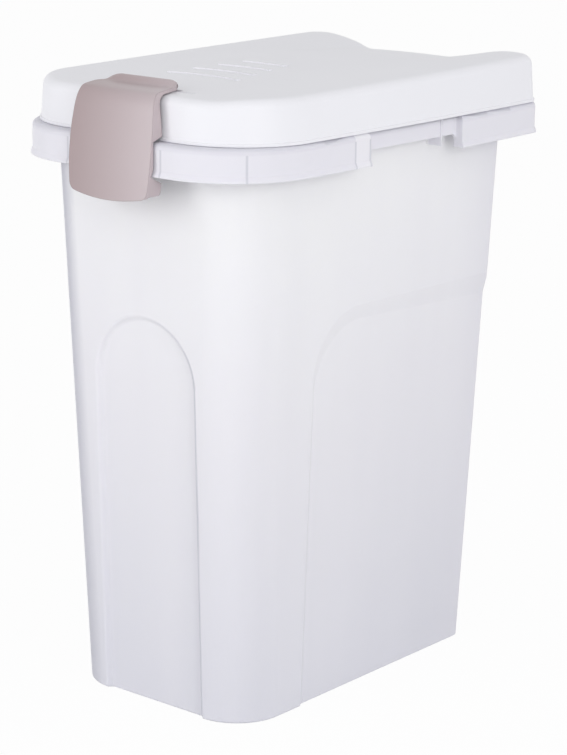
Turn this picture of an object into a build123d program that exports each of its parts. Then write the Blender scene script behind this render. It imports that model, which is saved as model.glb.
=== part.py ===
from build123d import *
import math
import os

# A pet food storage bin: a translucent tub, a hinged lid and a front clip.
# Millimetres. +Z is up, the clip faces -Y, and the origin is the middle of the tub's underside.

# Tub
base_width = 181.0
base_depth = 280.0
mouth_width = 210.2
mouth_depth = 312.4
tub_height = 448.4
tub_wall = 2.0
base_thickness = 2.6
base_edge_radius = 2.0
soft_edge_radius = 3.0
inner_edge_radius = 2.0
tub_front_radius = 41.5
tub_back_radius = 4.5

# Shallow round-topped arch in the front wall
arch_width = 100.0
arch_top = 310.5
arch_depth = 3.5
arch_edge_run = 3.2

# Grip panel sunk into each long wall, its front edge measured from the middle of the tub
panel_front = -70.8
panel_top = 313.0
panel_corner_radius = 52.0
panel_edge_run = 4.0
panel_front_depth = 2.6
panel_back_depth = 3.4
panel_front_shelf = 10.0
panel_back_shelf = 18.0

# Rim of the tub, measured outwards from the mouth
rim_side_overhang = 15.2
rim_side_bow = 4.3
rim_front_overhang = 22.3
rim_front_bow = 3.6
rim_back_overhang = 31.0
rim_front_radius = 67.6
rim_back_radius = 12.0
rim_skirt_height = 24.4
rim_wall = 2.0
rim_shoulder_radius = 3.6
rim_bead_height = 1.4
rim_bead_width = 1.4
rim_flare_height = 3.2

# Finger step on each long side, where the rim is set back and cut short
grip_front = -38.0
grip_back = 76.0
grip_inset = 7.3
grip_corner_radius = 2.0
grip_edge_rise = 10.0
grip_edge_radius = 4.0

# Ribs under the rim
rib_thickness = 1.5
rib_foot_rise = 3.0
front_rib_offset = 46.0
grip_rib_position = 57.0

# Lid, its outline measured from the rim's and its heights from its own lower edge
lid_side_inset = 0.8
lid_side_bow = 3.0
lid_front_inset = 9.6
lid_front_bow = 3.7
lid_back_reach = 0.2
lid_front_radius = 64.6
lid_back_radius = 15.0
lid_wall = 2.0
lid_gap = 0.2
lid_draft_angle = 4.0
lid_top_radius = 7.5
lid_inner_radius = 5.5
lid_bead_height = 2.4
lid_bead_width = 0.9
lid_bead_edge_radius = 0.5
lid_front_rise = 32.3
lid_middle_rise = 37.2
lid_back_rise = 27.6
lid_dome_depth = 0.7
crest_front_rise = 33.1
crest_back_rise = 37.9
crest_front_inset = 15.0
crest_back_inset = 24.0
crest_radius = 110.0
floor_half_front = 84.0
floor_half_middle = 49.0
floor_half_back = 48.0

# Seal, and the lip and ribs that hold it
mouth_clearance = 1.6
lip_wall = 1.8
lip_depth = 7.0
seal_outset = 4.0
seal_width = 6.0
seal_height = 4.4
seal_rest_gap = 0.3
seal_side_gap = 0.3
seal_web = 2.0
seal_rib_start = 0.8

# Raised arcs on the lid
arc_count = 4
arc_front_half = 35.0
arc_half_step = 4.6
arc_setback = 92.1
arc_spacing = 23.0
arc_radius = 170.0
arc_width = 3.4
arc_rise = 0.9

# Rear hinge
hinge_offset = 70.0
hinge_behind = 9.5
hinge_below = 1.4
hinge_hub_radius = 4.5
hinge_pin_radius = 2.0
hinge_running_gap = 0.05
knuckle_width = 14.0
knuckle_gap = 0.5
knuckle_height = 13.2
knuckle_lift = 0.4
lug_thickness = 5.0
lug_foot_rise = 6.0
pin_head_radius = 3.2
pin_head_length = 1.6

# Clip: a bowed plate over lid and rim, an arm back over the lid, and a barrel that turns on a pin
clip_half_width = 40.3
clip_waist_drop = 7.4
clip_side_radius = 237.0
clip_reach = 20.2
clip_bottom_rise = 4.2
clip_corner_radius = 7.0
clip_wall = 2.4
clip_side_wall = 2.6
clip_crown = 2.0
clip_rim_gap = 0.6
clip_lid_gap = 0.6
clip_top_gap = 0.8
clip_leans = (0.0, 0.8, 1.7, 3.0, 4.6, 6.6, 10.0)
clip_shoulder_drop = 6.8
clip_edge_lift = 1.4
clip_taper_length = 29.0
clip_hook_depth = 11.0
clip_hook_gap = 0.4
clip_hook_thickness = 3.0
clip_foot_rise = 5.0
clip_travel = 110.0
barrel_radius = 4.4
barrel_half_width = 30.8
barrel_end_length = 7.7
barrel_end_cut = 1.4
barrel_setback = 25.6
barrel_rise = 3.6
clip_pin_radius = 1.5
clip_pin_inset = 1.0

# The lid's pocket for the barrel, with two lugs that hold the pin
lid_lug_offset = 13.0
lid_lug_width = 5.0
lid_lug_radius = 3.0
lug_side_gap = 0.5
lug_round_gap = 0.3
lug_neck_half = 2.2
pocket_gap = 1.2
pocket_floor = 0.8
pocket_wall = 1.8
pin_groove_length = 17.0
pin_groove_width = 2.0
pin_groove_depth = 1.4

# How far a cut runs past what it cuts
cut_over = 1.0
cut_far = 30.0

# Sizes worked out from the ones above
side_draft = (mouth_width - base_width) / 2 / tub_height
front_draft = (mouth_depth - base_depth) / 2 / tub_height
rim_half_width = mouth_width / 2 + rim_side_overhang
rim_front = -mouth_depth / 2 - rim_front_overhang
rim_back = mouth_depth / 2 + rim_back_overhang
rim_bottom = tub_height - rim_skirt_height
rim_nose = rim_front - rim_front_bow
step_half_width = rim_half_width + rim_side_bow - grip_inset
lid_half_width = rim_half_width - lid_side_inset
lid_front = rim_front + lid_front_inset
lid_back = rim_back + lid_back_reach
lid_nose = lid_front - lid_front_bow
lid_bottom = tub_height + lid_gap
seal_bottom = tub_height + seal_rest_gap
hinge_y = rim_back + hinge_behind
hinge_z = tub_height - hinge_below
barrel_y = lid_nose + barrel_setback
barrel_z = lid_bottom + lid_front_rise + barrel_rise
clip_bottom = rim_bottom - clip_reach
clip_inside = rim_nose - rim_bead_width - clip_rim_gap
clip_tip = clip_inside + clip_hook_depth


def body_section(height, inset):
    """Plan outline of the tub's wall at a height, moved inwards by inset."""
    width = base_width + 2 * side_draft * height - 2 * inset
    depth = base_depth + 2 * front_draft * height - 2 * inset
    with BuildSketch(Plane.XY.offset(height)) as section:
        Rectangle(width, depth)
        fillet(section.vertices().group_by(Axis.Y)[0], tub_front_radius - inset)
        fillet(section.vertices().group_by(Axis.Y)[-1], tub_back_radius - inset)
    return section.sketch


def front_plane():
    """The sloping plane of the front wall, its normal pointing outwards."""
    return Plane(origin=(0, -base_depth / 2, 0), x_dir=(1, 0, 0), z_dir=(0, -1, -front_draft))


def side_plane():
    """The sloping plane of the right wall, its normal pointing outwards."""
    return Plane(origin=(base_width / 2, 0, 0), x_dir=(0, 1, 0), z_dir=(1, 0, -side_draft))


def arch_cutter(inset):
    """The space of the arch, from just outside the wall to the arch's floor."""
    slope = arch_edge_run / arch_depth
    with BuildPart() as cutter:
        for level, grow in ((cut_over, slope * cut_over), (-arch_depth, -arch_edge_run)):
            half = arch_width / 2 + grow + inset / 2
            spring = arch_top - arch_width / 2
            with BuildSketch(front_plane().offset(level - inset)):
                with BuildLine():
                    ThreePointArc((half, spring), (0, spring + half), (-half, spring))
                    Polyline((-half, spring), (-half, -cut_far), (half, -cut_far), (half, spring))
                make_face()
        loft(ruled=True)
    return cutter.part


def panel_cutter(inset):
    """The space of the right panel: shallow at its front edge, deeper towards the back."""
    far = base_depth / 2 + 2 * cut_far
    steep = panel_edge_run / panel_front_depth
    shelf = panel_front_shelf / panel_front_depth
    wall = side_plane()
    front = panel_front - inset / 2
    start = wall.from_local_coords(Vector(front + panel_edge_run, 0, -panel_front_depth - inset))
    end = wall.from_local_coords(Vector(base_depth / 2, 0, -panel_back_depth - inset))
    along = (end - start).normalized()
    floor_plane = Plane(origin=start, x_dir=along, z_dir=along.cross(wall.y_dir))
    reach = far - front - panel_edge_run
    fall = (panel_back_shelf - panel_front_shelf) / (base_depth / 2 - front)
    edge = front - steep * cut_over
    outer_top = panel_top + shelf * cut_over
    inner_top = panel_top - panel_front_shelf
    with BuildPart() as cutter:
        with BuildSketch(wall.offset(cut_over - inset)) as outer:
            Polygon(
                (edge, -cut_far), (far, -cut_far), (far, outer_top), (edge, outer_top), align=None,
            )
            corner = outer.vertices().group_by(Axis.Y)[-1].sort_by(Axis.X)[0]
            fillet(corner, panel_corner_radius)
        with BuildSketch(floor_plane) as inner:
            Polygon(
                (0, -cut_far), (reach, -cut_far), (reach, inner_top - fall * reach), (0, inner_top),
                align=None,
            )
            corner = inner.vertices().sort_by(Axis.X)[:2].sort_by(Axis.Y)[-1]
            fillet(corner, panel_corner_radius)
        loft(ruled=True)
    return cutter.part


def body_form(inset, bottom, top, edge_radius, foot_radius):
    """The tub's body as a solid, with its soft-edged arch and panels, moved inwards by inset."""

    def on_arch_or_panel(edge):
        middle = edge.position_at(0.5)
        if not bottom + cut_over < middle.Z < panel_top + cut_over:
            return False
        if middle.Y > panel_front - inset - cut_over:
            return True
        return abs(middle.X) < arch_width / 2 + inset + cut_over

    with BuildPart() as form:
        add(body_section(bottom, inset))
        add(body_section(top, inset))
        loft(ruled=True)
        add(arch_cutter(inset), mode=Mode.SUBTRACT)
        panel = panel_cutter(inset)
        add(panel, mode=Mode.SUBTRACT)
        add(panel.mirror(Plane.YZ), mode=Mode.SUBTRACT)
        fillet(form.edges().filter_by(on_arch_or_panel), edge_radius)
        fillet(form.edges().group_by(Axis.Z)[0], foot_radius)
    return form.part


def bowed_outline(height, half_width, front, back, side_bow, front_bow, front_radius, back_radius):
    """Plan outline with bowed front and sides and rounded corners, for rim and lid."""
    middle = (front + back) / 2
    bulge = half_width + side_bow
    with BuildSketch(Plane.XY.offset(height)) as outline:
        with BuildLine():
            ThreePointArc((-half_width, front), (0, front - front_bow), (half_width, front))
            ThreePointArc((half_width, front), (bulge, middle), (half_width, back))
            Line((half_width, back), (-half_width, back))
            ThreePointArc((-half_width, back), (-bulge, middle), (-half_width, front))
        make_face()
        fillet(outline.vertices().group_by(Axis.Y)[0], front_radius)
        fillet(outline.vertices().group_by(Axis.Y)[-1], back_radius)
    return outline.sketch


def rim_outline(height, inset):
    """Plan outline of the rim, moved inwards by inset."""
    return bowed_outline(
        height, rim_half_width - inset, rim_front + inset, rim_back - inset,
        rim_side_bow, rim_front_bow, rim_front_radius - inset, rim_back_radius - inset,
    )


def lid_outline(height, inset):
    """Plan outline of the lid, moved inwards by inset."""
    return bowed_outline(
        height, lid_half_width - inset, lid_front + inset, lid_back - inset,
        lid_side_bow, lid_front_bow, lid_front_radius - inset, lid_back_radius - inset,
    )


def grip_block(grow, bottom, top):
    """The space beside both long sides where the rim steps inwards for the fingers."""
    inner = step_half_width - grow
    with BuildPart() as space:
        with BuildSketch(Plane.XY.offset(bottom)) as plan:
            for side in (-1, 1):
                with Locations((side * (inner + cut_far / 2), (grip_front + grip_back) / 2)):
                    Rectangle(cut_far, grip_back - grip_front + 2 * grow)
            near = plan.vertices().filter_by(lambda corner: abs(corner.X) < inner + cut_over)
            fillet(near, grip_corner_radius + grow)
        extrude(amount=top - bottom)
    return space.part


def grip_edge_cut():
    """Raises the lower edge of the rim inside the finger step, with rounded upper corners."""
    top = rim_bottom + grip_edge_rise
    with BuildPart() as cut:
        with BuildSketch(Plane.YZ.offset(step_half_width - 2 * rim_wall)) as outline:
            Polygon(
                (grip_front, rim_bottom - cut_over), (grip_back, rim_bottom - cut_over),
                (grip_back, top), (grip_front, top), align=None,
            )
            fillet(outline.vertices().group_by(Axis.Y)[-1], grip_edge_radius)
        extrude(amount=3 * rim_wall)
        mirror(about=Plane.YZ)
    return cut.part


def tub_rim():
    """The rim: a ledge, a skirt with a flared edge, and a finger step on each long side."""
    flare_start = rim_bottom + rim_bead_height
    with BuildPart() as channel:
        add(rim_outline(rim_bottom - cut_over, rim_wall))
        extrude(amount=rim_skirt_height + cut_over - rim_wall)
        add(grip_block(rim_wall, rim_bottom - cut_over, tub_height), mode=Mode.SUBTRACT)
    with BuildPart() as flare:
        add(rim_outline(flare_start, -rim_bead_width))
        add(rim_outline(flare_start + rim_flare_height, 0))
        loft(ruled=True)
    with BuildPart() as rim:
        add(rim_outline(rim_bottom, 0))
        extrude(amount=rim_skirt_height)
        add(rim_outline(rim_bottom, -rim_bead_width))
        extrude(amount=rim_bead_height)
        add(flare.part)
        add(grip_block(0, rim_bottom - cut_over, tub_height + cut_over), mode=Mode.SUBTRACT)
        fillet(rim.edges().group_by(Axis.Z)[-1], rim_shoulder_radius)
        add(channel.part, mode=Mode.SUBTRACT)
        add(grip_edge_cut(), mode=Mode.SUBTRACT)
    return rim.part


def rim_ribs():
    """Thin upright ribs between the skirt and the body."""
    bottom = rim_bottom + rib_foot_rise
    height = tub_height - rim_wall / 2 - bottom
    mouth_half, mouth_front = mouth_width / 2, mouth_depth / 2
    near = tub_front_radius - tub_wall / 2
    shift = (rim_half_width - rim_front_radius) - (mouth_half - tub_front_radius)
    shift -= (rim_front + rim_front_radius) - (tub_front_radius - mouth_front)
    far = rim_front_radius - rim_wall / 2 + shift / math.sqrt(2)
    diagonal = (near + far) / 2 / math.sqrt(2)
    corner_x = mouth_half - tub_front_radius + diagonal
    corner_y = tub_front_radius - mouth_front - diagonal
    with BuildPart() as ribs:
        with BuildSketch(Plane.XY.offset(bottom)):
            for side in (-1, 1):
                with Locations((side * front_rib_offset, (rim_front - mouth_front) / 2)):
                    Rectangle(rib_thickness, rim_front_overhang + rim_wall)
                with Locations((side * (mouth_half + step_half_width) / 2, grip_rib_position)):
                    Rectangle(step_half_width - mouth_half + rim_wall, rib_thickness)
                with Locations(Location((side * corner_x, corner_y, 0), side * -45.0)):
                    Rectangle(far - near, rib_thickness)
        extrude(amount=height)
    return ribs.part


def crown_height(x, y):
    """Height of the lid's top: a long shallow dome between two ridges that grow to the back."""
    share = (y - lid_nose) / (lid_back - lid_nose)
    ridge = lid_bottom + crest_front_rise + (crest_back_rise - crest_front_rise) * share
    crest = lid_half_width - crest_front_inset - (crest_back_inset - crest_front_inset) * share
    if share < 0.5:
        mix = 0.5 - 0.5 * math.cos(math.pi * max(share, 0) * 2)
        floor = lid_bottom + lid_front_rise + (lid_middle_rise - lid_front_rise) * mix
        foot = floor_half_front + (floor_half_middle - floor_half_front) * mix
    else:
        mix = 2 * share - 1
        floor = lid_bottom + lid_middle_rise + (lid_back_rise - lid_middle_rise) * mix * mix
        foot = floor_half_middle + (floor_half_back - floor_half_middle) * mix
    reach = abs(x)
    if reach <= foot:
        return floor - lid_dome_depth * (reach / foot) ** 2
    if reach <= crest:
        climb = 1 - (1 - (reach - foot) / (crest - foot)) ** 1.8
        low = floor - lid_dome_depth
        return low + (ridge - low) * climb
    return ridge - (reach - crest) ** 2 / (2 * crest_radius)


def crown_form(drop):
    """A solid that fills everything under the lid's top, lowered by drop."""
    sections, columns = 11, 15
    start, end = lid_nose - cut_far, lid_back + cut_far
    edge = lid_half_width + lid_side_bow + cut_far / 2
    bottom = lid_bottom - cut_far
    with BuildPart() as crown:
        for section in range(sections):
            y = start + (end - start) * section / (sections - 1)
            half = [edge * column / (columns - 1) for column in range(columns)]
            across = [-x for x in reversed(half[1:])] + half
            with BuildSketch(Plane.XZ.offset(-y)):
                with BuildLine():
                    top = Spline(*[(x, crown_height(x, y) - drop) for x in across])
                    Polyline(top @ 1, (edge, bottom), (-edge, bottom), top @ 0)
                make_face()
        loft()
    return crown.part


def lid_shell_form(inset, height, drop, edge_radius):
    """The lid's outside, or its inside when inset and lowered: drafted walls under the crown."""
    rise = 2 * cut_far
    lean = rise * math.tan(math.radians(lid_draft_angle))
    with BuildPart() as form:
        add(lid_outline(height, inset))
        add(lid_outline(height + rise, inset + lean))
        loft(ruled=True)
        add(crown_form(drop), mode=Mode.INTERSECT)
        fillet(form.faces().sort_by(lambda face: face.center().Z)[-1].edges(), edge_radius)
    return form.part


def mouth_outline(outset, height):
    """The inside of the tub's mouth as a plan outline, moved outwards by outset."""
    with BuildSketch(Plane.XY.offset(height)) as outline:
        Rectangle(mouth_width - 2 * tub_wall + 2 * outset, mouth_depth - 2 * tub_wall + 2 * outset)
        front_radius = tub_front_radius - tub_wall + outset
        back_radius = tub_back_radius - tub_wall + max(outset, 0)
        fillet(outline.vertices().group_by(Axis.Y)[0], front_radius)
        fillet(outline.vertices().group_by(Axis.Y)[-1], back_radius)
    return outline.sketch


def mouth_ring(outset, width, bottom, top):
    """A ring that follows the tub's mouth, its outer side outset from the mouth's inner wall."""
    with BuildPart() as ring:
        add(mouth_outline(outset, bottom))
        extrude(amount=top - bottom)
        add(mouth_outline(outset - width, bottom))
        extrude(amount=top - bottom, mode=Mode.SUBTRACT)
    return ring.part


def round_bar(radius, x_start, x_end, y, z):
    """A round bar along X."""
    with BuildPart() as bar:
        with BuildSketch(Plane.YZ.offset(x_start)):
            with Locations((y, z)):
                Circle(radius)
        extrude(amount=x_end - x_start)
    return bar.part


def side_plate(points, x_middle, thickness):
    """A flat plate across X, from the Y and Z points of its outline."""
    with BuildPart() as plate:
        with BuildSketch(Plane.YZ.offset(x_middle - thickness / 2)):
            Polygon(*points, align=None)
        extrude(amount=thickness)
    return plate.part


def block(x_range, y_range, z_range):
    """A rectangular block between three pairs of limits."""
    with BuildPart() as solid:
        with BuildSketch(Plane.XY.offset(z_range[0])):
            with Locations((sum(x_range) / 2, sum(y_range) / 2)):
                Rectangle(x_range[1] - x_range[0], y_range[1] - y_range[0])
        extrude(amount=z_range[1] - z_range[0])
    return solid.part


def hinge_lugs():
    """Two pairs of lugs behind the rim, bored for the hinge pins."""
    start = rim_back - rim_wall / 2
    slant = hinge_hub_radius * math.cos(math.radians(45))
    outline = (
        (start, rim_bottom + lug_foot_rise), (start, tub_height - rim_shoulder_radius - rim_wall),
        (hinge_y - slant, hinge_z + slant), (hinge_y, hinge_z), (hinge_y + slant, hinge_z - slant),
    )
    reach = knuckle_width / 2 + knuckle_gap + lug_thickness / 2
    with BuildPart() as lugs:
        for side in (-hinge_offset, hinge_offset):
            for middle in (side - reach, side + reach):
                near, far = middle - lug_thickness / 2, middle + lug_thickness / 2
                add(side_plate(outline, middle, lug_thickness))
                add(round_bar(hinge_hub_radius, near, far, hinge_y, hinge_z))
                bore = round_bar(hinge_pin_radius, near, far, hinge_y, hinge_z)
                add(bore, mode=Mode.SUBTRACT)
    return lugs.part


def hinge_pin(side):
    """One hinge pin with a head at its outer end."""
    half = knuckle_width / 2 + knuckle_gap + lug_thickness
    middle = side * hinge_offset
    outer = middle + side * half
    ends = sorted((outer, outer + side * pin_head_length))
    with BuildPart() as pin:
        add(round_bar(hinge_pin_radius, middle - half, middle + half, hinge_y, hinge_z))
        add(round_bar(pin_head_radius, *ends, hinge_y, hinge_z))
    return pin.part


def knuckles():
    """The lid's two hinge knuckles, bored to turn on the pins."""
    start = lid_back - lid_wall / 2
    slant = hinge_hub_radius * math.cos(math.radians(45))
    outline = (
        (start, lid_bottom + knuckle_lift), (hinge_y - slant / 2, hinge_z),
        (hinge_y + slant, hinge_z + slant), (start, lid_bottom + knuckle_height),
    )
    bore = hinge_pin_radius + hinge_running_gap
    with BuildPart() as both:
        for middle in (-hinge_offset, hinge_offset):
            near, far = middle - knuckle_width / 2, middle + knuckle_width / 2
            add(side_plate(outline, middle, knuckle_width))
            add(round_bar(hinge_hub_radius, near, far, hinge_y, hinge_z))
            add(round_bar(bore, near, far, hinge_y, hinge_z), mode=Mode.SUBTRACT)
    return both.part


def lid_arcs():
    """Low raised arcs behind one another on the lid, wide in front and narrow behind."""
    with BuildPart() as arcs:
        for number in range(arc_count):
            half = arc_front_half - arc_half_step * number
            y = lid_nose + arc_setback + arc_spacing * number
            sweep = math.degrees(math.asin(half / arc_radius))
            with BuildSketch(Plane.XY.offset(lid_bottom)):
                with BuildLine():
                    arc = CenterArc((0, y - arc_radius), arc_radius, 90 - sweep, 2 * sweep)
                trace(arc, line_width=arc_width)
            extrude(amount=2 * cut_far)
        add(crown_form(-arc_rise), mode=Mode.INTERSECT)
        add(crown_form(lid_wall / 2), mode=Mode.SUBTRACT)
    return arcs.part


def pocket_limits(grow, deeper):
    """The box of the barrel's pocket in the lid, grown sideways and deepened."""
    across = barrel_half_width + pocket_gap + grow
    along = barrel_radius + pocket_gap + grow
    floor = barrel_z - barrel_radius - pocket_floor - deeper
    return (-across, across), (barrel_y - along, barrel_y + along), (floor, barrel_z + cut_far)


def lid_lugs():
    """Two lugs in the pocket that hold the clip's pin."""
    floor = barrel_z - barrel_radius - pocket_floor - pocket_wall / 2
    along = (barrel_y - lug_neck_half, barrel_y + lug_neck_half)
    bore = clip_pin_radius + hinge_running_gap
    with BuildPart() as lugs:
        for middle in (-lid_lug_offset, lid_lug_offset):
            near, far = middle - lid_lug_width / 2, middle + lid_lug_width / 2
            add(block((near, far), along, (floor, barrel_z)))
            add(round_bar(lid_lug_radius, near, far, barrel_y, barrel_z))
            add(round_bar(bore, near, far, barrel_y, barrel_z), mode=Mode.SUBTRACT)
    return lugs.part


def pin_grooves():
    """The two grooves beside the pocket through which the clip's pin goes in."""
    start = barrel_half_width + pocket_gap - cut_over
    end = start + cut_over + pin_groove_length
    along = (barrel_y - pin_groove_width / 2, barrel_y + pin_groove_width / 2)
    heights = (crown_height(end, barrel_y) - pin_groove_depth, barrel_z + cut_far)
    with BuildPart() as grooves:
        for side in (-1, 1):
            add(block(sorted((side * start, side * end)), along, heights))
    return grooves.part


def lid_part():
    """The lid: a crowned shell with a seal channel, raised arcs, pocket, lugs and knuckles."""
    land = seal_outset + seal_width + seal_side_gap
    seal_top = seal_bottom + seal_height
    web_top = seal_top + seal_web
    web_width = land + 2 * lip_wall + mouth_clearance
    above = lid_bottom + crest_back_rise + cut_over
    with BuildPart() as ribs:
        add(mouth_ring(-mouth_clearance, lip_wall, tub_height - lip_depth, above))
        add(mouth_ring(land + lip_wall, lip_wall, lid_bottom + seal_rib_start, web_top))
        add(mouth_ring(land + lip_wall, web_width, seal_top, web_top))
        add(block(*pocket_limits(pocket_wall, pocket_wall)))
        add(crown_form(lid_wall / 2), mode=Mode.INTERSECT)
    with BuildPart() as shell:
        add(lid_outline(lid_bottom, -lid_bead_width))
        extrude(amount=lid_bead_height)
        rounded = shell.edges().group_by(Axis.Z)[0] + shell.edges().group_by(Axis.Z)[-1]
        fillet(rounded, lid_bead_edge_radius)
        add(lid_shell_form(0, lid_bottom, 0, lid_top_radius))
        add(lid_arcs())
        inside = lid_shell_form(lid_wall, lid_bottom - cut_over, lid_wall, lid_inner_radius)
        add(inside, mode=Mode.SUBTRACT)
        add(ribs.part)
        add(block(*pocket_limits(0, 0)), mode=Mode.SUBTRACT)
        add(pin_grooves(), mode=Mode.SUBTRACT)
        add(lid_lugs())
        add(knuckles())
    return shell.part


def clip_face(x, inset):
    """The clip's outer profile at a distance x from its middle, moved inwards by inset."""
    edge = min(abs(x) / clip_half_width, 1)
    crown = clip_crown * (1 - edge ** 2)
    foot = clip_inside - clip_wall - clip_leans[2]
    shoulder = barrel_z - clip_shoulder_drop
    step = (shoulder - clip_bottom) / (len(clip_leans) - 1)
    points = [
        (foot + lean - crown, clip_bottom + step * number) for number, lean in enumerate(clip_leans)
    ]
    top = lid_bottom + lid_front_rise + clip_top_gap + clip_wall
    lift = clip_edge_lift * edge ** 3
    past_straight = max(abs(x) - barrel_half_width + barrel_end_length, 0)
    end_share = min(past_straight / (barrel_end_length + barrel_end_cut), 1)
    round_top = barrel_radius * math.sqrt(1 - end_share ** 2)
    points += [
        (points[-1][0] + 3.6 + 0.3 * crown, top - 1.9), (points[-1][0] + 8.6 + 0.5 * crown, top - 0.5),
        (barrel_y - 16.0, top + 0.3 * lift), (barrel_y - 10.0, top + 0.7 * lift),
        (barrel_y - 6.0, min(top + 0.9 + lift, barrel_z + 0.7 * round_top)),
        (barrel_y - 3.4, barrel_z + 0.8 * round_top), (barrel_y, barrel_z + round_top),
    ]
    moved = []
    for number, (y, z) in enumerate(points):
        before, after = points[max(number - 1, 0)], points[min(number + 1, len(points) - 1)]
        dy, dz = after[0] - before[0], after[1] - before[1]
        length = math.hypot(dy, dz)
        moved.append((y + inset * dz / length, z - inset * dy / length))
    return moved


def clip_skin_form(inset):
    """Everything behind the clip's doubly curved outer face, as a solid."""
    stations = 13
    reach = clip_half_width + clip_side_wall
    with BuildPart() as form:
        for station in range(stations):
            x = reach * (2 * station / (stations - 1) - 1)
            with BuildSketch(Plane.YZ.offset(x)):
                with BuildLine():
                    face = Spline(*clip_face(x, inset))
                    Polyline(face @ 1, ((face @ 1).X, clip_bottom - inset), face @ 0)
                make_face()
        loft()
    return form.part


def clip_side(z):
    """Half width of the clip's bowed plate at a height."""
    away = z - (tub_height - clip_waist_drop)
    return clip_half_width - away ** 2 / (2 * clip_side_radius)


def clip_front_outline(inset):
    """The clip seen from the front: bowed sides, round lower corners and a bowed lower edge."""
    low = clip_bottom + clip_bottom_rise
    waist = tub_height - clip_waist_drop
    high = barrel_z + barrel_radius + cut_over
    with BuildPart() as form:
        with BuildSketch(Plane.XZ.offset(-barrel_y)) as outline:
            with BuildLine():
                low_half, high_half = clip_side(low) - inset, clip_side(high) - inset
                middle = clip_half_width - inset
                ThreePointArc(
                    (-low_half, low + inset), (0, clip_bottom + inset), (low_half, low + inset),
                )
                ThreePointArc((low_half, low + inset), (middle, waist), (high_half, high))
                Line((high_half, high), (-high_half, high))
                ThreePointArc((-high_half, high), (-middle, waist), (-low_half, low + inset))
            make_face()
            fillet(outline.vertices().group_by(Axis.Y)[0], clip_corner_radius - inset)
        extrude(amount=2 * cut_far, both=True)
    return form.part


def clip_plan_outline(inset):
    """The clip seen from above: full width over the rim, narrowing to the barrel."""
    wide = clip_half_width + cut_over - inset
    narrow = barrel_half_width - inset
    start, end = barrel_y - clip_taper_length, barrel_y + barrel_radius
    with BuildPart() as form:
        with BuildSketch(Plane.XY.offset(clip_bottom - cut_far)):
            Polygon(
                (-wide, start - cut_far), (wide, start - cut_far), (wide, start),
                (narrow, barrel_y), (narrow, end), (-narrow, end), (-narrow, barrel_y),
                (-wide, start), align=None,
            )
        extrude(amount=5 * cut_far)
    return form.part


def on_hook(y, drop=0.0):
    """Height at y of the circle on which the hook swings clear of the rim, or drop below it."""
    corner = math.hypot(rim_nose - rim_bead_width - barrel_y, rim_bottom - barrel_z)
    radius = corner + clip_hook_gap + drop
    return barrel_z - math.sqrt(radius ** 2 - (y - barrel_y) ** 2)


def clip_back_cut():
    """What is open behind the clip's flanges: the lid's corner, the rim and below the hook."""
    lid_side = lid_nose - clip_lid_gap
    rim_side = rim_nose - clip_rim_gap
    over = lid_bottom + lid_front_rise + clip_top_gap
    corner = lid_top_radius + clip_lid_gap
    foot = clip_bottom + clip_foot_rise
    flare_top = rim_bottom + rim_bead_height + rim_flare_height
    far, middle = barrel_y + 3 * cut_far, (clip_inside + clip_tip) / 2
    with BuildPart() as cut:
        with BuildSketch(Plane.YZ.offset(-2 * cut_far)):
            with BuildLine():
                Line((far, over), (lid_side + corner, over))
                TangentArc((lid_side + corner, over), (lid_side, over - corner), tangent=(-1, 0))
                Polyline(
                    (lid_side, over - corner), (lid_side, lid_bottom + lid_bead_height + 2 * clip_lid_gap),
                    (rim_side, tub_height + clip_lid_gap), (rim_side, flare_top),
                    (clip_inside, rim_bottom + rim_bead_height), (clip_inside, on_hook(clip_inside)),
                )
                ThreePointArc(
                    (clip_inside, on_hook(clip_inside)), (middle, on_hook(middle)),
                    (clip_tip, on_hook(clip_tip)),
                )
                Polyline(
                    (clip_tip, on_hook(clip_tip)), (clip_tip, foot), (clip_inside, foot),
                    (clip_inside, clip_bottom - cut_far), (far, clip_bottom - cut_far), (far, over),
                )
            make_face()
        extrude(amount=4 * cut_far)
    return cut.part


def clip_cavity():
    """The hollow between the clip's flanges, above and below the hook."""
    behind = clip_tip + cut_over
    middle = (clip_inside + behind) / 2
    with BuildPart() as hook:
        with BuildSketch(Plane.YZ.offset(-2 * cut_far)):
            with BuildLine():
                start = clip_inside - clip_wall - clip_crown
                ThreePointArc(
                    (start, on_hook(start)), (middle, on_hook(middle)), (behind, on_hook(behind)),
                )
                Line((behind, on_hook(behind)), (behind, on_hook(behind, clip_hook_thickness)))
                ThreePointArc(
                    (behind, on_hook(behind, clip_hook_thickness)),
                    (middle, on_hook(middle, clip_hook_thickness)),
                    (start, on_hook(start, clip_hook_thickness)),
                )
                Line((start, on_hook(start, clip_hook_thickness)), (start, on_hook(start)))
            make_face()
        extrude(amount=4 * cut_far)
    with BuildPart() as hollow:
        add(clip_skin_form(clip_wall))
        add(clip_front_outline(clip_side_wall), mode=Mode.INTERSECT)
        add(clip_plan_outline(clip_side_wall), mode=Mode.INTERSECT)
        front = (clip_inside - cut_far, barrel_y - 2 * barrel_radius - cut_over)
        heights = (clip_bottom - cut_far, barrel_z)
        add(block((-2 * cut_far, 2 * cut_far), front, heights), mode=Mode.INTERSECT)
        add(hook.part, mode=Mode.SUBTRACT)
    return hollow.part


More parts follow.
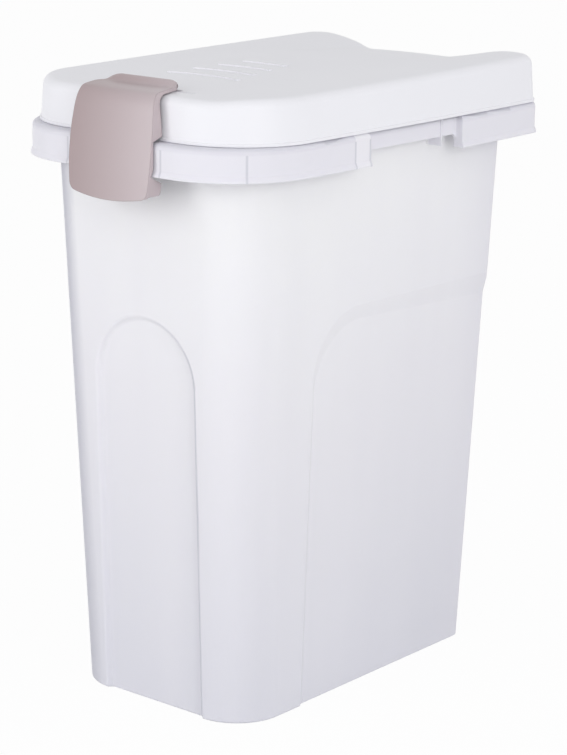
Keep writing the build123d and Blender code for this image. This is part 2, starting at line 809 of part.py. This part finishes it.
def clip_slots():
    """Room in the barrel for the lid's lugs through the clip's whole travel."""
    radius = lid_lug_radius + lug_round_gap
    neck = math.degrees(math.asin((lug_neck_half + lug_round_gap) / radius)) + 4
    low, high = -90 - neck, -90 + clip_travel + neck
    reach, steps = 3 * barrel_radius, 6
    fan = [(barrel_y, barrel_z)]
    for step in range(steps + 1):
        angle = math.radians(low + (high - low) * step / steps)
        fan.append((barrel_y + reach * math.cos(angle), barrel_z + reach * math.sin(angle)))
    width = lid_lug_width + 2 * lug_side_gap
    with BuildPart() as slots:
        for middle in (-lid_lug_offset, lid_lug_offset):
            near, far = middle - width / 2, middle + width / 2
            add(side_plate(fan, middle, width))
            add(round_bar(radius, near, far, barrel_y, barrel_z))
    return slots.part


def clip_barrel():
    """The barrel at the end of the clip's arm, with domed ends."""
    straight = barrel_half_width - barrel_end_length
    with BuildPart() as barrel:
        with BuildSketch(Plane(origin=(0, barrel_y, barrel_z), x_dir=(1, 0, 0), z_dir=(0, -1, 0))):
            with BuildLine():
                EllipticalCenterArc((straight, 0), barrel_end_length, barrel_radius, 0, arc_size=90)
                Line((straight, barrel_radius), (-straight, barrel_radius))
                EllipticalCenterArc((-straight, 0), barrel_end_length, barrel_radius, 90, arc_size=90)
                Line((-barrel_half_width, 0), (barrel_half_width, 0))
            make_face()
        revolve(axis=Axis((0, barrel_y, barrel_z), (1, 0, 0)))
    return barrel.part


def clip_part():
    """The clip: skin, flanges, hook and barrel, bored for its pin."""
    bore = round_bar(clip_pin_radius, -barrel_half_width, barrel_half_width, barrel_y, barrel_z)
    with BuildPart() as clip:
        add(clip_skin_form(0))
        add(clip_front_outline(0), mode=Mode.INTERSECT)
        add(clip_plan_outline(0), mode=Mode.INTERSECT)
        add(clip_back_cut(), mode=Mode.SUBTRACT)
        add(clip_cavity(), mode=Mode.SUBTRACT)
        add(clip_barrel())
        add(clip_slots(), mode=Mode.SUBTRACT)
        add(bore, mode=Mode.SUBTRACT)
    return clip.part


os.makedirs("parts", exist_ok=True)

with BuildPart() as tub:
    add(tub_rim())
    add(rim_ribs())
    add(body_form(0, 0, tub_height, soft_edge_radius, base_edge_radius))
    room_top = tub_height + cut_over
    room = body_form(tub_wall, base_thickness, room_top, inner_edge_radius, inner_edge_radius)
    add(room, mode=Mode.SUBTRACT)
    add(hinge_lugs())
tub.part.label = "tub"
export_step(tub.part, "parts/tub.step")

with BuildPart() as lid:
    add(lid_part())
lid.part.label = "lid"
export_step(lid.part, "parts/lid.step")

with BuildPart() as lid_seal:
    add(mouth_ring(seal_outset + seal_width, seal_width, seal_bottom, seal_bottom + seal_height))
lid_seal.part.label = "lid_seal"
export_step(lid_seal.part, "parts/lid_seal.step")

with BuildPart() as clip:
    add(clip_part())
clip.part.label = "clip"
export_step(clip.part, "parts/clip.step")

with BuildPart() as clip_pin:
    pin_half = barrel_half_width - clip_pin_inset
    add(round_bar(clip_pin_radius, -pin_half, pin_half, barrel_y, barrel_z))
clip_pin.part.label = "clip_pin"
export_step(clip_pin.part, "parts/clip_pin.step")

with BuildPart() as hinge_pin_left:
    add(hinge_pin(-1))
hinge_pin_left.part.label = "hinge_pin_left"
export_step(hinge_pin_left.part, "parts/hinge_pin_left.step")

with BuildPart() as hinge_pin_right:
    add(hinge_pin(1))
hinge_pin_right.part.label = "hinge_pin_right"
export_step(hinge_pin_right.part, "parts/hinge_pin_right.step")
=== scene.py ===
import math

import bpy
from mathutils import Matrix, Vector

# Looks of the pet food storage bin. Metres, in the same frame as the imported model.

# Camera, with its angles in degrees and its lens in millimetres
CAMERA_AZIMUTH = 39.90
CAMERA_ELEVATION = 14.52
CAMERA_ROLL = 0.55
CAMERA_DISTANCE = 1.9897
CAMERA_TARGET = Vector((0.0, 0.0011, 0.2332))
CAMERA_LENS = 119.13
CAMERA_SHIFT = (0.01323, 0.00203)

# Studio light: a soft surround, brighter on the right, and two tall softboxes
SURROUND_LEFT, SURROUND_RIGHT = 0.54, 0.80
SURROUND_COLOUR = (0.985, 0.985, 1.0, 1.0)
SOFTBOX_SIZE = (0.7, 1.5)
SOFTBOX_DISTANCE = 2.2
SOFTBOX_HEIGHT = 0.75
LEFT_AZIMUTH, LEFT_POWER = -22.0, 13.0
RIGHT_AZIMUTH, RIGHT_POWER = 70.0, 12.0

# White floor: how wide it is, and how much of its shadow shows
FLOOR_SIZE = 12.0
FLOOR_COLOUR = (0.80, 0.80, 0.81, 1.0)
FLOOR_ROUGHNESS = 0.9
FLOOR_SHADOW = 0.04
WHITE = (1.0, 1.0, 1.0, 1.0)

# Colours, written as they show on a screen. The wall's tones run from the floor to the rim,
# darker towards the floor as painted shade.
WALL_SHADE_TONES = ((0.0, (223, 223, 230)), (0.55, (236, 235, 240)), (0.93, (246, 246, 249)))
# Painted shade on the back of the wall.
WALL_BACK_SHADE = (226, 225, 232)
# Painted shade on the wall's left corners.
LEFT_CORNER_SHADE = (200, 200, 209)
# Painted shade: the rim's skirt greyer, as shade from the hollow behind it.
RIM_SHADE_TINT = (232, 231, 237)
# Painted shadow of the lid on the rim's ledge.
LID_SHADOW_TINT = (216, 215, 223)
# Painted highlight on the skirt at the finger step's end.
STEP_HIGHLIGHT_TINT = (237, 236, 241)
RIB_TINT = (214, 214, 221)
LID_COLOUR = (242, 242, 246)
# Painted light on the clip: a shaded left side and a lit right side.
CLIP_SHADED_LEFT = (169, 151, 152)
CLIP_LIT_RIGHT = (193, 180, 183)
SEAL_COLOUR = (206, 206, 210)
PIN_COLOUR = (232, 232, 236)

# Upright streaks in the wall's tone
STREAK_SCALE = 14.0
STREAK_STRETCH = (1.0, 1.0, 0.12)
STREAK_NOISE_LOW, STREAK_NOISE_HIGH = 0.3, 0.7
STREAK_STRENGTH = 0.08

# Cloudy tone of the plainer plastics
CLOUD_SCALE = 9.0
CLOUD_DEPTH = 0.985

# Surfaces: roughness, how fine the grain is, how much it shows, and the radius of soft edges
TUB_SURFACE = {"roughness": 0.50, "grain": 900.0, "bump": 0.10, "edge": 0.0006}
CLIP_SURFACE = {"roughness": 0.38, "grain": 1200.0, "bump": 0.06, "edge": 0.0012}
LID_SURFACE = {"roughness": 0.50, "grain": 1200.0, "bump": 0.06}
SEAL_SURFACE = {"roughness": 0.70, "grain": 700.0, "bump": 0.20}
PIN_SURFACE = {"roughness": 0.35, "grain": 1200.0, "bump": 0.05}
ROUGHNESS_SPREAD = 0.05
GRAIN_DEPTH = 0.0002

# Milkiness of the tub
TUB_SPECULAR = 0.4
MILK_WEIGHT = 0.5
MILK_RADIUS = (1.0, 1.0, 1.05)
MILK_DEPTH = 0.002

# Heights on the tub
BODY_HEIGHT = 0.448
RIM_BOTTOM = 0.4236
# Where the painted shadow of the lid begins.
LID_SHADOW_START = 0.4430
RIB_TOP = BODY_HEIGHT - 0.004

# The mouth's outline, which the rim lies outside of. The corner is the sum of both distances.
MOUTH_HALF_WIDTH = 0.1066
MOUTH_HALF_DEPTH = 0.1578
MOUTH_CORNER = 0.2385

# Where the wall's tone turns into the painted shade of the back, by depth, and into the painted
# shade of the left corners, by the sideways part of the surface's normal
BACK_START, BACK_END = 0.10, 0.19
CORNER_START, CORNER_FULL = -0.12, -0.50
CORNER_FADE, CORNER_END = -0.90, -0.99

# Places on the skirt of what shows through it: the ribs, and the end of the finger step
FRONT_RIB = 0.046
CORNER_RIB = -0.0361
RIB_HALF = 0.0009
STEP_START, STEP_END = -0.0565, -0.0395
STEP_MIDDLE = (STEP_START + STEP_END) / 2
STEP_HALF = (STEP_END - STEP_START) / 2

CLIP_HALF_WIDTH = 0.040

# Directions
SIDEWAYS = (1.0, 0.0, 0.0)
BACKWARDS = (0.0, 1.0, 0.0)
UPWARDS = (0.0, 0.0, 1.0)
BACK_RIGHT = (math.sqrt(0.5), math.sqrt(0.5), 0.0)
BACK_LEFT = (-math.sqrt(0.5), math.sqrt(0.5), 0.0)

# sRGB: the straight part of its curve ends here
SRGB_KNEE = 0.04045


def shade(colour):
    """A screen colour as the linear colour that a shader takes."""
    linear = []
    for channel in colour:
        share = channel / 255
        if share <= SRGB_KNEE:
            linear.append(share / 12.92)
        else:
            linear.append(((share + 0.055) / 1.055) ** 2.4)
    return (*linear, 1.0)


def new_material(name):
    """A new material, its node tree and its shader."""
    material = bpy.data.materials.new(name)
    material.use_nodes = True
    return material, material.node_tree, material.node_tree.nodes["Principled BSDF"]


def object_place(tree):
    """The place on the object that a pattern is laid out by."""
    return tree.nodes.new("ShaderNodeTexCoord").outputs["Object"]


def noise(tree, scale, stretch=(1.0, 1.0, 1.0)):
    """Noise on Object coordinates, stretched along the axes."""
    mapping = tree.nodes.new("ShaderNodeMapping")
    mapping.inputs["Scale"].default_value = stretch
    texture = tree.nodes.new("ShaderNodeTexNoise")
    texture.inputs["Scale"].default_value = scale
    tree.links.new(object_place(tree), mapping.inputs["Vector"])
    tree.links.new(mapping.outputs["Vector"], texture.inputs["Vector"])
    return texture.outputs["Fac"]


def remap(tree, value, start, end, low=0.0, high=1.0):
    """Turns a value that runs from start to end into one that runs from low to high."""
    node = tree.nodes.new("ShaderNodeMapRange")
    node.inputs["From Min"].default_value = start
    node.inputs["From Max"].default_value = end
    node.inputs["To Min"].default_value = low
    node.inputs["To Max"].default_value = high
    tree.links.new(value, node.inputs["Value"])
    return node.outputs["Result"]


def combine(tree, operation, first, second=None):
    """One Math node between two values, the second a socket, a number or nothing."""
    node = tree.nodes.new("ShaderNodeMath")
    node.operation = operation
    tree.links.new(first, node.inputs[0])
    if isinstance(second, (int, float)):
        node.inputs[1].default_value = second
    elif second is not None:
        tree.links.new(second, node.inputs[1])
    return node.outputs["Value"]


def any_of(tree, masks):
    """1 where at least one of the masks is 1."""
    whole = masks[0]
    for mask in masks[1:]:
        whole = combine(tree, "MAXIMUM", whole, mask)
    return whole


def all_of(tree, masks):
    """1 only where each of the masks is 1."""
    whole = masks[0]
    for mask in masks[1:]:
        whole = combine(tree, "MULTIPLY", whole, mask)
    return whole


def along(tree, direction):
    """How far a point lies along a direction."""
    node = tree.nodes.new("ShaderNodeVectorMath")
    node.operation = "DOT_PRODUCT"
    node.inputs[1].default_value = direction
    tree.links.new(object_place(tree), node.inputs[0])
    return node.outputs["Value"]


def blend(tree, share, first, second):
    """A colour between two, each a screen colour or a socket."""
    node = tree.nodes.new("ShaderNodeMix")
    node.data_type = "RGBA"
    for socket, colour in (("A", first), ("B", second)):
        place = next(s for s in node.inputs if s.name == socket and s.type == "RGBA")
        if isinstance(colour, tuple):
            place.default_value = shade(colour)
        else:
            tree.links.new(colour, place)
    tree.links.new(share, node.inputs["Factor"])
    return next(s for s in node.outputs if s.type == "RGBA")


def tones(tree, share, stops):
    """A colour that runs through the stops, each a place from 0 to 1 and a screen colour."""
    ramp = tree.nodes.new("ShaderNodeValToRGB")
    elements = ramp.color_ramp.elements
    while len(elements) < len(stops):
        elements.new(0.5)
    for element, (place, colour) in zip(elements, stops):
        element.position = place
        element.color = shade(colour)
    tree.links.new(share, ramp.inputs["Fac"])
    return ramp.outputs["Color"]


def surface(tree, shader, roughness, grain, bump, edge=0.0):
    """Grain in the gloss and the bump, and softly rounded edges."""
    fine = noise(tree, grain)
    smoothest, roughest = roughness - ROUGHNESS_SPREAD, roughness + ROUGHNESS_SPREAD
    rough = remap(tree, fine, 0.0, 1.0, smoothest, roughest)
    tree.links.new(rough, shader.inputs["Roughness"])
    height = tree.nodes.new("ShaderNodeBump")
    height.inputs["Strength"].default_value = bump
    height.inputs["Distance"].default_value = GRAIN_DEPTH
    tree.links.new(fine, height.inputs["Height"])
    if edge:
        soft = tree.nodes.new("ShaderNodeBevel")
        soft.inputs["Radius"].default_value = edge
        tree.links.new(soft.outputs["Normal"], height.inputs["Normal"])
    tree.links.new(height.outputs["Normal"], shader.inputs["Normal"])


def moulded_plastic(name, colour, finish):
    """Moulded plastic of one colour with a faint cloudy tone."""
    material, tree, shader = new_material(name)
    darker = tuple(channel * CLOUD_DEPTH for channel in colour)
    cloudy = blend(tree, noise(tree, CLOUD_SCALE), colour, darker)
    tree.links.new(cloudy, shader.inputs["Base Color"])
    surface(tree, shader, **finish)
    return material


def left_corner_shade(tree):
    """1 where the wall turns towards its left side, as at its left corners, 0 on the flats: the
    mask of painted shade.
    """
    facing = tree.nodes.new("ShaderNodeSeparateXYZ")
    normal = tree.nodes.new("ShaderNodeTexCoord").outputs["Normal"]
    tree.links.new(normal, facing.inputs["Vector"])
    turned = remap(tree, facing.outputs["X"], CORNER_START, CORNER_FULL)
    short_of_side = remap(tree, facing.outputs["X"], CORNER_END, CORNER_FADE)
    return all_of(tree, [turned, short_of_side])


def shaded_wall_tone(tree, height):
    """The wall's tone with painted shade: darker downwards, greyer at the back and left corners,
    faintly streaked.
    """
    rise = remap(tree, height, 0.0, BODY_HEIGHT)
    streaks = remap(
        tree, noise(tree, STREAK_SCALE, STREAK_STRETCH),
        STREAK_NOISE_LOW, STREAK_NOISE_HIGH, -STREAK_STRENGTH, STREAK_STRENGTH,
    )
    # Painted shade: the tone darkens towards the floor.
    tone = tones(tree, combine(tree, "ADD", rise, streaks), WALL_SHADE_TONES)
    # Painted shade: greyer towards the back.
    behind = remap(tree, along(tree, BACKWARDS), BACK_START, BACK_END)
    tone = blend(tree, behind, tone, WALL_BACK_SHADE)
    # Painted shade: darker at the left corners.
    return blend(tree, left_corner_shade(tree), tone, LEFT_CORNER_SHADE)


def rim_place(tree, height):
    """1 on the rim and its skirt, 0 on the wall."""
    side = combine(tree, "ABSOLUTE", along(tree, SIDEWAYS))
    front = combine(tree, "ABSOLUTE", along(tree, BACKWARDS))
    corner = combine(tree, "SUBTRACT", side, along(tree, BACKWARDS))
    outside = any_of(tree, [
        combine(tree, "GREATER_THAN", side, MOUTH_HALF_WIDTH),
        combine(tree, "GREATER_THAN", front, MOUTH_HALF_DEPTH),
        combine(tree, "GREATER_THAN", corner, MOUTH_CORNER),
    ])
    return all_of(tree, [outside, combine(tree, "GREATER_THAN", height, RIM_BOTTOM)])


def skirt_band(tree, direction, offset, half_width):
    """1 on an upright band in the front half of the bin, at an offset along a direction."""
    away = combine(tree, "SUBTRACT", along(tree, direction), offset)
    near = combine(tree, "LESS_THAN", combine(tree, "ABSOLUTE", away), half_width)
    ahead = combine(tree, "LESS_THAN", along(tree, BACKWARDS), 0.0)
    return all_of(tree, [near, ahead])


def rib_lines(tree, height):
    """1 on the thin lines of the ribs and of the step's end, which show through the skirt."""
    ribs = [
        (SIDEWAYS, FRONT_RIB), (SIDEWAYS, -FRONT_RIB),
        (BACK_RIGHT, CORNER_RIB), (BACK_LEFT, CORNER_RIB),
        (BACKWARDS, STEP_START), (BACKWARDS, STEP_END),
    ]
    lines = [skirt_band(tree, direction, offset, RIB_HALF) for direction, offset in ribs]
    return all_of(tree, [any_of(tree, lines), combine(tree, "LESS_THAN", height, RIB_TOP)])


def frosted_tub():
    """Milky plastic on which what lies behind it shows, with a rim greyer as painted shade, a
    painted shadow of the lid along its top, and a painted highlight at the step's end.
    """
    material, tree, shader = new_material("frosted_tub")
    height = along(tree, UPWARDS)
    rim = rim_place(tree, height)
    # Painted shadow of the lid: it deepens upwards over the ledge.
    lid_shadow = remap(tree, height, LID_SHADOW_START, BODY_HEIGHT)
    # Painted shade on the rim, and a painted shadow of the lid along the ledge.
    tone = blend(tree, rim, shaded_wall_tone(tree, height), blend(tree, lid_shadow, RIM_SHADE_TINT, LID_SHADOW_TINT))
    # Painted highlight: a paler band at the end of the finger step.
    step_highlight = all_of(tree, [skirt_band(tree, BACKWARDS, STEP_MIDDLE, STEP_HALF), rim])
    tone = blend(tree, step_highlight, tone, STEP_HIGHLIGHT_TINT)
    lines = all_of(tree, [rib_lines(tree, height), rim])
    tree.links.new(blend(tree, lines, tone, RIB_TINT), shader.inputs["Base Color"])
    surface(tree, shader, **TUB_SURFACE)
    shader.inputs["Specular IOR Level"].default_value = TUB_SPECULAR
    shader.inputs["Subsurface Weight"].default_value = MILK_WEIGHT
    shader.inputs["Subsurface Radius"].default_value = MILK_RADIUS
    shader.inputs["Subsurface Scale"].default_value = MILK_DEPTH
    return material


def taupe_clip():
    """Satin taupe plastic with painted light: paler towards its lit right side, darker on its
    shaded left.
    """
    material, tree, shader = new_material("satin_taupe_clip")
    # Painted light: the clip paler towards its right side.
    across = remap(tree, along(tree, SIDEWAYS), -CLIP_HALF_WIDTH, CLIP_HALF_WIDTH)
    tree.links.new(blend(tree, across, CLIP_SHADED_LEFT, CLIP_LIT_RIGHT), shader.inputs["Base Color"])
    surface(tree, shader, **CLIP_SURFACE)
    return material


def dress(node, material):
    """Gives a piece its one material."""
    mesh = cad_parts[node].data
    mesh.materials.clear()
    mesh.materials.append(material)


def add_camera():
    """The camera, aimed at its target and rolled a little."""
    azimuth = math.radians(CAMERA_AZIMUTH)
    elevation = math.radians(CAMERA_ELEVATION)
    roll = math.radians(CAMERA_ROLL)
    back = Vector((
        math.sin(azimuth) * math.cos(elevation),
        -math.cos(azimuth) * math.cos(elevation),
        math.sin(elevation),
    ))
    level_right = Vector((math.cos(azimuth), math.sin(azimuth), 0.0))
    level_up = back.cross(level_right)
    right = level_right * math.cos(roll) + level_up * math.sin(roll)
    up = level_up * math.cos(roll) - level_right * math.sin(roll)
    data = bpy.data.cameras.new("camera")
    data.lens = CAMERA_LENS
    data.shift_x, data.shift_y = CAMERA_SHIFT
    camera = bpy.data.objects.new("camera", data)
    turn = Matrix((right, up, back)).transposed().to_4x4()
    camera.matrix_world = Matrix.Translation(CAMERA_TARGET + back * CAMERA_DISTANCE) @ turn
    bpy.context.scene.collection.objects.link(camera)
    bpy.context.scene.camera = camera


def add_softbox(name, azimuth, power):
    """A tall softbox at an azimuth, aimed at the middle of the bin."""
    data = bpy.data.lights.new(name, "AREA")
    data.shape = "RECTANGLE"
    data.size, data.size_y = SOFTBOX_SIZE
    data.energy = power
    lamp = bpy.data.objects.new(name, data)
    angle = math.radians(azimuth)
    lamp.location = (
        SOFTBOX_DISTANCE * math.sin(angle),
        -SOFTBOX_DISTANCE * math.cos(angle),
        SOFTBOX_HEIGHT,
    )
    aim = CAMERA_TARGET - lamp.location
    lamp.rotation_euler = aim.to_track_quat("-Z", "Y").to_euler()
    bpy.context.scene.collection.objects.link(lamp)


def seen_directly(tree):
    """1 for what the camera, a mirror or clear plastic sees directly, 0 for light on the bin."""
    path = tree.nodes.new("ShaderNodeLightPath")
    rays = ("Is Camera Ray", "Is Glossy Ray", "Is Transmission Ray")
    return any_of(tree, [path.outputs[ray] for ray in rays])


def mix_shaders(tree, share, first, second, output):
    """Sends a mix of two shaders to an output."""
    mix = tree.nodes.new("ShaderNodeMixShader")
    tree.links.new(share, mix.inputs["Fac"])
    tree.links.new(first, mix.inputs[1])
    tree.links.new(second, mix.inputs[2])
    tree.links.new(mix.outputs["Shader"], tree.nodes[output].inputs["Surface"])


def add_world():
    """A soft surround that lights the bin, and a white backdrop that is only seen."""
    world = bpy.data.worlds.new("studio")
    world.use_nodes = True
    tree = world.node_tree
    light = tree.nodes["Background"]
    light.inputs["Color"].default_value = SURROUND_COLOUR
    across = tree.nodes.new("ShaderNodeSeparateXYZ")
    place = tree.nodes.new("ShaderNodeTexCoord").outputs["Generated"]
    tree.links.new(place, across.inputs["Vector"])
    level = remap(tree, across.outputs["X"], -1.0, 1.0, SURROUND_LEFT, SURROUND_RIGHT)
    tree.links.new(level, light.inputs["Strength"])
    white = tree.nodes.new("ShaderNodeBackground")
    white.inputs["Color"].default_value = WHITE
    white.inputs["Strength"].default_value = 1.0
    mix_shaders(
        tree, seen_directly(tree),
        light.outputs["Background"], white.outputs["Background"], "World Output",
    )
    bpy.context.scene.world = world


def add_floor():
    """A white floor that shows as the backdrop's white and keeps a faint shadow."""
    bpy.ops.mesh.primitive_plane_add(size=FLOOR_SIZE, location=(0.0, 0.0, 0.0))
    floor = bpy.context.object
    floor.name = "floor"
    material, tree, shader = new_material("white_floor")
    shader.inputs["Base Color"].default_value = FLOOR_COLOUR
    shader.inputs["Roughness"].default_value = FLOOR_ROUGHNESS
    shader.inputs["Specular IOR Level"].default_value = 0.0
    glow = tree.nodes.new("ShaderNodeEmission")
    glow.inputs["Strength"].default_value = 1.0
    share = combine(tree, "MULTIPLY", seen_directly(tree), 1.0 - FLOOR_SHADOW)
    mix_shaders(tree, share, shader.outputs["BSDF"], glow.outputs["Emission"], "Material Output")
    floor.data.materials.append(material)


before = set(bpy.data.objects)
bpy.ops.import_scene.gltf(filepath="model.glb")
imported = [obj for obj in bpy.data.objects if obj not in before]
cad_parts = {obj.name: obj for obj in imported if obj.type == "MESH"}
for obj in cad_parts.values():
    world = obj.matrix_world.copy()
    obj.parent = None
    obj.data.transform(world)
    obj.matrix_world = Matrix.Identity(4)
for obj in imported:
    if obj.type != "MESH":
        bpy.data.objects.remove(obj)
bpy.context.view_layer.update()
bpy.ops.object.select_all(action="DESELECT")

bpy.context.scene.view_settings.view_transform = "Standard"
add_world()
add_floor()
add_camera()
add_softbox("left_softbox", LEFT_AZIMUTH, LEFT_POWER)
add_softbox("right_softbox", RIGHT_AZIMUTH, RIGHT_POWER)

dress("tub", frosted_tub())
dress("lid", moulded_plastic("satin_white_lid", LID_COLOUR, LID_SURFACE))
clip_finish = taupe_clip()
dress("clip", clip_finish)
dress("clip_pin", clip_finish)
dress("lid_seal", moulded_plastic("pale_grey_seal", SEAL_COLOUR, SEAL_SURFACE))
pin_finish = moulded_plastic("white_pin", PIN_COLOUR, PIN_SURFACE)
dress("hinge_pin_left", pin_finish)
dress("hinge_pin_right", pin_finish)
